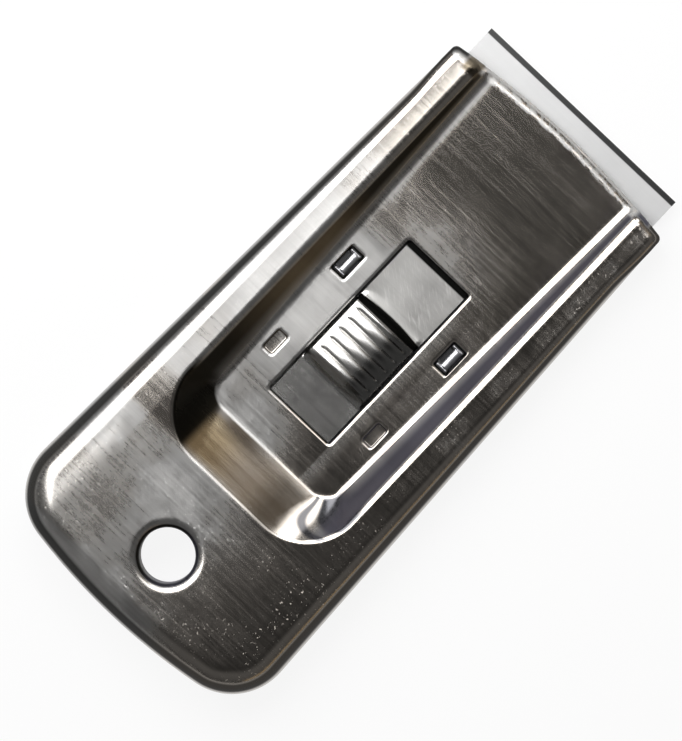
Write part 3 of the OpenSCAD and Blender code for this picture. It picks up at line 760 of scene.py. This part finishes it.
def band(value, low, high):
    """A socket that rises smoothly from 0 at low to 1 at high."""
    return value.node("ShaderNodeMapRange", {"interpolation_type": "SMOOTHSTEP"},
                      {"Value": value, "From Min": low, "From Max": high})


def strip(value, low, full, fade, high):
    """A socket that rises from 0 at low to 1 at full, and falls from 1 at fade to 0 at high."""
    return band(value, low, full) * (1 - band(value, fade, high))


class Steel:
    """The coordinates, in mm, and the noises that every steel finish here is made from."""

    def __init__(self, name):
        self.material, self.wire = new_finish(name)
        self.place = self.wire.node("ShaderNodeTexCoord", out="Object")
        self.x, self.y, self.z = [(1 / MM) * self.wire.node("ShaderNodeSeparateXYZ", {}, {0: self.place}, out=axis)
                                  for axis in "XYZ"]
        self.brush = self.noise((2600, 70, 70), 5.0, 0, 0.7)
        self.clouds = self.noise((150, 150, 150), 6.0)

    def noise(self, scale, detail, turn=0.0, lean=0.55):
        """Noise with its own scale along each axis, in features a metre, turned about z by degrees."""
        turned = self.wire.node("ShaderNodeMapping", {}, {"Vector": self.place, "Rotation": (0, 0, np.radians(turn))})
        scaled = self.wire.node("ShaderNodeVectorMath", {"operation": "MULTIPLY"}, {0: turned, 1: scale})
        return self.wire.node("ShaderNodeTexNoise", {},
                              {"Vector": scaled, "Scale": 1.0, "Detail": detail, "Roughness": lean})

    def scratches(self, turn, low=0.62, high=0.74):
        """Fine straight marks in one direction."""
        return band(self.noise((7000, 260, 260), 2.0, turn), low, high)

    def steep(self, upright, level):
        """1 on faces as steep as upright, 0 on those as flat as level, both as the height of a unit normal."""
        normal = self.wire.node("ShaderNodeNewGeometry", out="Normal")
        up = self.wire.node("ShaderNodeSeparateXYZ", {}, {0: normal}, out="Z")
        return 1 - band(up, upright, level)

    def mix(self, share, first, second, blend="MIX"):
        """A colour between two colours."""
        return self.wire.node("ShaderNodeMix", {"data_type": "RGBA", "blend_type": blend},
                              {"Factor": share, 6: first, 7: second}, out=2)

    def finish(self, tone, light, rough, metallic=1.0, relief=0.12, painted_shade=None):
        """The material: tone times light, a slight bump from the brush marks, and painted shade where the mask is 1.
        """
        colour = self.mix(1.0, tone, light, "MULTIPLY")
        bump = self.wire.node("ShaderNodeBump", {}, {"Strength": relief, "Distance": BRUSH_DEPTH * MM,
                                                     "Height": self.brush})
        shader = self.wire.node("ShaderNodeBsdfPrincipled", {}, {"Base Color": colour, "Metallic": metallic,
                                                                 "Roughness": rough, "Normal": bump})
        # Painted shade: where the mask is 1 the steel gives way to a near-black matte coat.
        if painted_shade:
            dark_shade = self.wire.node("ShaderNodeBsdfPrincipled", {},
                                   {"Base Color": SHADE_COLOUR, "Roughness": 0.8, "Specular IOR Level": 0.0})
            shader = self.wire.node("ShaderNodeMixShader", {}, {0: painted_shade, 1: shader, 2: dark_shade})
        self.wire.node("ShaderNodeOutputMaterial", {}, {"Surface": shader})
        return self.material


def plain_steel(name, tone, roughness):
    """Rolled steel of a piece that hardly shows: brush marks and clouds alone."""
    steel = Steel(name)
    light = 1 + 0.3 * (steel.brush - 0.5) + 0.4 * (steel.clouds - 0.5)
    return steel.finish((*tone, 1), light, roughness + 0.15 * (steel.brush - 0.5) + 0.2 * (steel.clouds - 0.5))


print("steel finishes ready")

# %% [markdown]
# The body has the most wear, and each kind of wear has a mask. The panel is dulled to the left of the slot, in a smear
# ahead of it, behind it and along its right side. The tail, its rear edge and the rails are dulled too, and specks and
# scratches gather on the rails and the tail.

# %% Where the body is worn
FOOT_Y, FOOT_SLOPE = 13.16, 0.0384
steel = Steel("body_steel")
x, y = steel.x, steel.y
grain = steel.noise((1500, 700, 700), 6.0, 20, 0.75)
wear = band(steel.clouds, 0.34, 0.72) * (0.5 + 0.5 * band(grain, 0.25, 0.75))
beside = band(y, -6.0, 7.5) * (1 - 0.4 * band(y, 11.0, 13.0)) * strip(x, -24.0, -17.0, 13.0, 22.0)
beside = beside * (0.5 + 0.5 * band(x, -14.0, 2.0))
smear = strip(x, 15.0, 20.5, 25.0, 33.0) * band(y, -13.0, -2.0) * (1 - 0.3 * band(y, 6.0, 12.0))
near = strip(y, -10.0, -7.0, -6.7, -6.3) * strip(x, -20.0, -16.0, 14.0, 20.0)
behind = strip(x, -20.0, -17.5, -13.5, -11.0) * band(y, -10.0, 1.0) * (1 - 0.5 * band(y, 7.0, 9.0))
far_right = strip(y, -14.0, -12.5, -10.0, -9.0) * strip(x, -12.0, -4.0, 12.0, 24.0)
dimple = band(y, 0.0, 1.0) * strip(x, -7.6, -7.2, -2.7, -2.3) * (1 - band(steel.z, 4.28, 4.5))
beyond_foot = y - FOOT_Y - FOOT_SLOPE * x
left_foot = strip(beyond_foot, -2.2, -0.9, -0.4, 0.1) * (1 - band(steel.z, 4.75, 5.2))
tail = (1 - band(x, -27.5, -25.0)) * band(y, -20.0, 9.0) * (1 - 0.35 * band(y, 8.0, 12.0))
rear_edge = (1 - band(x, -50.0, -48.0)) * band(y, -14.0, 18.0)
left_rail = band(y, 16.5, 17.5) * band(x, -36.0, -25.0)
right_rail = (1 - band(y, -18.6, -17.6)) * band(x, -16.0, 0.0)
edge = band(y * y, 285.0, 320.0) + (1 - band(x, -30.0, -25.0))
specks = band(steel.noise((2600, 1900, 1900), 3.0, 30), 0.62, 0.72) * band(steel.clouds, 0.42, 0.6)
marks = steel.scratches(25) + steel.scratches(-38, 0.64, 0.76) + 0.6 * steel.scratches(70, 0.64, 0.76)
print("body: masks of the wear")

# %% [markdown]
# Three masks tell places apart: the lip that is rubbed at the mouth, the pocket of the recess and the bore of the
# hole.
# The steep parts of the pocket and the bore get painted shade and more roughness, and all the rest is the outside.

# %% Lip, pocket and bore
from_axis = x - float(FRONT_AXIS[0])
from_hole = x - HOLE_X
reach = steel.wire.sum("SQRT", from_axis * from_axis + y * y)
lip = band(reach, 137.0, 137.8) * band(y, -17.0, -15.8)
pocket = (1 - band(y * y, 345.0, 375.0)) * band(x, -30.0, -28.0)
bore = 1 - band(from_hole * from_hole + y * y, 45.0, 60.0)
recess = (pocket * (1 - lip) + bore) * steel.steep(0.66, 0.84)
outside = (1 - pocket) * (1 - bore)
print("body: masks of its places")

# %% [markdown]
# The masks add up to one change of roughness, each with its own strength and most of them broken up by the wear.

# %% Roughness of the body
dulled = 0.24 * beside * (0.8 + 0.4 * wear) + 0.1 * smear * (0.6 + 0.8 * wear)
dulled = dulled + tail * (0.75 + 0.5 * wear) * (0.16 + 0.05 * band(x, -39.0, -33.0)) + 0.23 * rear_edge
dulled = dulled + (0.03 + 0.13 * band(x, 16.0, 42.0)) * left_foot + 0.09 * near + 0.05 * left_rail
dulled = dulled + 0.3 * lip * (0.15 + band(grain, 0.4, 0.62)) + 0.14 * right_rail * wear + 0.25 * recess
dulled = dulled + 0.07 * behind * (0.6 + 0.8 * wear) + 0.06 * far_right * (0.5 + wear) - 0.1 * dimple
rough = 0.175 + 0.2 * (steel.brush - 0.5) + 0.04 * (steel.clouds - 0.5) + 0.08 * (grain - 0.5) + dulled
rough = rough + 0.25 * edge * specks + 0.06 * marks * (0.2 + wear)
light = 1 + 0.3 * (steel.brush - 0.5) + 0.15 * (steel.clouds - 0.5) + 0.25 * edge * specks
print("body: roughness and lightness")

# %% [markdown]
# Polished steel gets a painted warm reflection of the room, and dulled steel a neutral tone. The walls of the recess
# get painted shade, bluish on the right and brown on the left, where the rear corner is painted nearly black. The ramp
# between the corners has a painted golden reflection on its left, painted grey shade at its right end and painted dark
# shade along its foot. Two painted dark reflections curve round the bowl of the right corner, and one small brown one
# lies at the left end of the lip. The upright sides get painted shade, a near-black matte coat that thins towards the
# foot.

# %% Tones, painted shade and painted reflections of the body
# The first tone is a painted warm reflection of the room, the second the steel's own neutral tone.
WARM_REFLECTION, NEUTRAL = (0.69, 0.63, 0.565, 1), (0.6, 0.59, 0.575, 1)
# Painted shade for the recess walls: bluish on the right, brown and dark brown on the left.
BLUISH_SHADE, BROWN_SHADE, DARK_BROWN_SHADE = (0.085, 0.083, 0.105, 1), (0.22, 0.172, 0.112, 1), (0.04, 0.036, 0.028, 1)
# A painted golden reflection for the ramp, and painted shade for its right end and its foot.
GOLD_REFLECTION, RAMP_END_SHADE, RAMP_FOOT_SHADE = (0.62, 0.51, 0.345, 1), (0.22, 0.205, 0.185, 1), (0.12, 0.1, 0.08, 1)
# Painted dark reflections: two curved bands in the right corner's bowl, and a small spot at the left end of the lip.
ARC_REFLECTION, PATCH_REFLECTION = (0.1, 0.1, 0.107, 1), (0.16, 0.135, 0.1, 1)
BOWL_X, BOWL_Y, BOWL_RADIUS, BOWL_TWIST, DEGREES = -16.2, -8.2, 6.4, 2.6, 57.3
# Painted shade of the left wall: dark brown at both ends, lighter brown in the middle.
brown = steel.mix(strip(x, -13.0, 8.0, 13.0, 23.0), DARK_BROWN_SHADE, BROWN_SHADE)
shaded = steel.mix(band(y, -2.0, 2.0), BLUISH_SHADE, brown)
# Painted shade: the left rear corner of the recess is darkened nearly to black.
corner = pocket * band(y, 8.8, 10.6) * (1 - band(x, -17.0, -13.0)) * steel.steep(0.88, 0.985)
# Painted reflection: a golden streak on the left of the ramp.
gold_reflection = strip(x, -26.5, -25.0, -19.5, -18.5) * strip(y, -1.0, 7.0, 10.0, 12.0)
# Painted shade: grey at the ramp's right end.
ramp_end_shade = strip(x, -28.5, -26.5, -19.5, -18.0) * strip(y, -10.8, -8.5, -6.5, -1.5)
# Painted shade: dark along the foot of the ramp.
ramp_foot_shade = strip(x, -21.8, -18.8, -18.4, -17.9) * strip(y, -6.0, 4.0, 10.0, 12.0)
# Painted reflection: two dark curved bands round the bowl of the right rear corner.
out_x, out_y = BOWL_X - x, BOWL_Y - y
span = steel.wire.sum("SQRT", out_x * out_x + out_y * out_y) - BOWL_RADIUS
angle = steel.wire.sum("ARCTAN2", out_y, out_x) * DEGREES - BOWL_TWIST * (span * span)
reflection_arcs = 0.95 * strip(angle, 16.0, 24.0, 30.0, 38.0) + band(angle, 43.0, 53.0)
reflection_arcs = reflection_arcs * pocket * (1 - band(y, -9.0, -8.4)) * (1 - band(x, -16.0, -12.0)) * steel.steep(0.9, 0.985)
# Painted dark reflection: a small brown spot at the left end of the lip.
lip_end_reflection = band(x, 44.8, 45.6) * strip(y, 15.6, 16.4, 18.4, 19.4)
# Painted reflection: polished steel takes the warm tone of the room, dulled steel the neutral one.
tone = steel.mix(band(dulled, 0.02, 0.16), WARM_REFLECTION, NEUTRAL)
tone = steel.mix(gold_reflection, tone, GOLD_REFLECTION)
tone = steel.mix(0.75 * ramp_end_shade, tone, RAMP_END_SHADE)
tone = steel.mix(ramp_foot_shade * (1 - 0.25 * band(y, 6.0, 9.0)), tone, RAMP_FOOT_SHADE)
tone = steel.mix(reflection_arcs, tone, ARC_REFLECTION)
# Painted shade on the steep walls of the recess, in the bore and in the left rear corner.
tone = steel.mix(recess + corner - recess * corner, tone, shaded)
tone = steel.mix(lip_end_reflection, tone, PATCH_REFLECTION)
# Painted shade: the steep outer sides get the near-black coat, standing for dark reflections, thinner towards the
# foot.
painted_shade = outside * steel.steep(0.6, 0.93) * (0.3 + 0.64 * band(steel.z, 1.5, 5.5))
body_steel = steel.finish(tone, light, rough, painted_shade=painted_shade)
print("body: tones and film")

# %% [markdown]
# The slide's plate is dull ahead of the pad, with scratches across the corner, and smoother behind it. Painted shadow
# darkens the pad's foot and two lines where the plate slips under the panel. The pad is polished by the thumb, and
# its right side is painted darker, as shade.

# %% Finish of the slide
SHADOW_BOW = 0.0137
steel = Steel("slide_steel")
ahead = band(steel.x, 9.0, 10.6)
marks = steel.scratches(38, 0.55, 0.7) + 0.6 * steel.scratches(20, 0.6, 0.72)
pad = band(steel.z, 4.2, 5.4)
left_side = band(steel.y, -3.0, -0.8)
rough = 0.26 + pad * (0.13 * left_side - 0.06) + 0.1 * (steel.brush - 0.5) + 0.14 * (steel.clouds - 0.5)
rough = rough + ahead * (0.09 + 0.11 * marks)
light = 1 + 0.2 * (steel.brush - 0.5) + 0.2 * (steel.clouds - 0.5) + 0.15 * ahead * marks
# Painted shade: the right side of the pad is darker.
light = light - 0.5 * pad * (1 - left_side)
# Painted shadow: a dark line at the pad's foot, and two where the plate slips under the panel's edges.
bowed = steel.x + SHADOW_BOW * steel.y * steel.y
painted_shadow = band(steel.x, 8.3, 8.6) * (1 - band(bowed, 9.9, 10.2)) + strip(steel.x, 19.5, 19.8, 21.2, 21.6)
painted_shadow = painted_shadow + 0.9 * strip(steel.x, -11.5, -11.2, -10.75, -10.55)
slide_steel = steel.finish((0.62, 0.61, 0.59, 1), light, rough, painted_shade=0.99 * painted_shadow)
print("slide: scratches and dirt")

# %% [markdown]
# The blade is ground to a pale grey, with a finely ground bevel at its edge that is painted dark as shade, and
# painted light that grows towards +Y across it. The spring is bright at its pips and painted dark below them, as the
# shade of the windows.

# %% Finish of the blade and the spring
steel = Steel("blade_steel")
bevel = band(steel.x, 52.0, 52.2)
# Brush marks and clouds, and painted light that makes the blade lighter towards +Y.
light = 1 + 0.08 * (steel.brush - 0.5) + 0.14 * (steel.clouds - 0.5) + 0.08 * band(steel.y, -20.0, 20.0)
# Painted shade: the bevel is darkened.
light = (1 - 0.93 * bevel) * light
rough = 0.45 - 0.15 * bevel + 0.1 * (steel.clouds - 0.5)
blade_steel = steel.finish((0.64, 0.64, 0.64, 1), light, rough, 0.3 + 0.7 * bevel)

steel = Steel("spring_steel")
light = 1 + 0.2 * (steel.brush - 0.5) + 0.2 * (steel.clouds - 0.5)
rough = 0.4 + 0.1 * (steel.clouds - 0.5)
# Painted shade: below the pips the spring gets the near-black coat, as the shade of the windows.
spring_steel = steel.finish((0.66, 0.66, 0.68, 1), light, rough, painted_shade=0.9 - 0.9 * band(steel.z, 3.88, 4.0))
print("blade: bevel; spring: pips")

# %% [markdown]
# Every solid keeps a finish of its own, also the ones that a dressed piece hides.

# %% Finishes on the pieces
finishes = {
    "body_steel": body_steel,
    "plate_steel": plain_steel("plate_steel", (0.5, 0.5, 0.51), 0.35),
    "carrier_steel": plain_steel("carrier_steel", (0.16, 0.16, 0.16), 0.6),
    "spring_steel": spring_steel,
    "slide_steel": slide_steel,
    "rivet_steel": plain_steel("rivet_steel", (0.55, 0.55, 0.56), 0.35),
    "blade_steel": blade_steel,
    "spine_steel": plain_steel("spine_steel", (0.42, 0.42, 0.43), 0.4),
}
for piece, slot in ((body, "body_steel"), (slide, "slide_steel"), (spring, "spring_steel")):
    piece.data.materials.append(finishes[slot])
slot_of = {part["node"]: part["material_slot"] for part in frame["record"]["subparts"]}
for name, slot in slot_of.items():
    node = frame["nodes"][name]
    node.data.materials.clear()
    node.data.materials.append(finishes[slot])
print("finishes:", ", ".join(finishes))

# %% [markdown]
# The scraper lies on a plain white table. The camera and the reflections see it almost evenly lit, as in an
# overexposed photograph, and all other light finds it matte.

# %% Table
TABLE_HALF, TABLE_DROP = 2.0, 0.03
TABLE_GLOW = 0.9
floor_mesh = bpy.data.meshes.new("floor")
floor_corners = TABLE_HALF * np.array([(-1, -1, 0), (1, -1, 0), (1, 1, 0), (-1, 1, 0)]) - [0, 0, TABLE_DROP * MM]
floor_mesh.from_pydata(floor_corners, [], [(0, 1, 2, 3)])
floor = bpy.data.objects.new("floor", floor_mesh)
bpy.context.scene.collection.objects.link(floor)
material, wire = new_finish("table_white")
matte = wire.node("ShaderNodeBsdfDiffuse", {}, {"Color": (0.9, 0.9, 0.9, 1)})
glow = wire.node("ShaderNodeEmission", {}, {"Color": (1, 1, 1, 1), "Strength": 1.0})
seen = [wire.node("ShaderNodeLightPath", out=name)
        for name in ("Is Camera Ray", "Is Glossy Ray", "Is Transmission Ray")]
shader = wire.node("ShaderNodeMixShader", {}, {0: TABLE_GLOW * (seen[0] + seen[1] + seen[2]), 1: matte, 2: glow})
wire.node("ShaderNodeOutputMaterial", {}, {"Surface": shader})
floor_mesh.materials.append(material)
print("table:", floor.name)

# %% [markdown]
# The light is a large softbox on the +Y side, low enough to leave the flat steel dark and to draw bright bands on the
# slopes that face it. Two smaller lamps light the front. Three dim cards put a warm, an amber and a cool tone into
# the reflections, and the room is darker overhead than at the horizon.

# %% Lights
ROOM, ROOM_FALL = 0.11, 0.08


def softbox(name, place, size, power, colour=(1, 1, 1)):
    """A rectangular lamp at a place in mm, turned to the middle of the scraper."""
    lamp = bpy.data.lights.new(name, "AREA")
    lamp.shape = "RECTANGLE"
    lamp.size, lamp.size_y = size[0] * MM, size[1] * MM
    lamp.energy = power
    lamp.color = colour
    light = bpy.data.objects.new(name, lamp)
    light.location = np.array(place) * MM
    light.rotation_euler = Vector(-np.array(place)).to_track_quat("-Z", "Y").to_euler()
    light.visible_camera = False
    bpy.context.scene.collection.objects.link(light)


softbox("key", (50, 180, 228), (320, 262), 1.2)
softbox("front", (185, 40, 250), (150, 120), 0.11)
softbox("corner", (285, 115, 165), (110, 110), 0.11)
softbox("warm_card", (330, -10, 200), (200, 110), 0.009, (1.0, 0.74, 0.42))
softbox("amber_card", (-60, -400, 50), (400, 50), 0.034, (1.0, 0.72, 0.36))
softbox("cool_card", (0, 450, 80), (600, 120), 0.012, (0.6, 0.6, 1.0))
world = bpy.data.worlds.new("studio")
world.use_nodes = True
world.node_tree.nodes.clear()
wire = Wire(world.node_tree)
way = wire.node("ShaderNodeTexCoord", out="Generated")
height = wire.node("ShaderNodeSeparateXYZ", {}, {0: way}, out="Z")
sky = wire.node("ShaderNodeBackground", {}, {"Strength": ROOM - ROOM_FALL * band(height, 0.7, 0.94)})
wire.node("ShaderNodeOutputWorld", {}, {"Surface": sky})
bpy.context.scene.world = world
bpy.context.scene.view_settings.view_transform = "Standard"
print("lights:", ", ".join(item.name for item in bpy.data.lights))
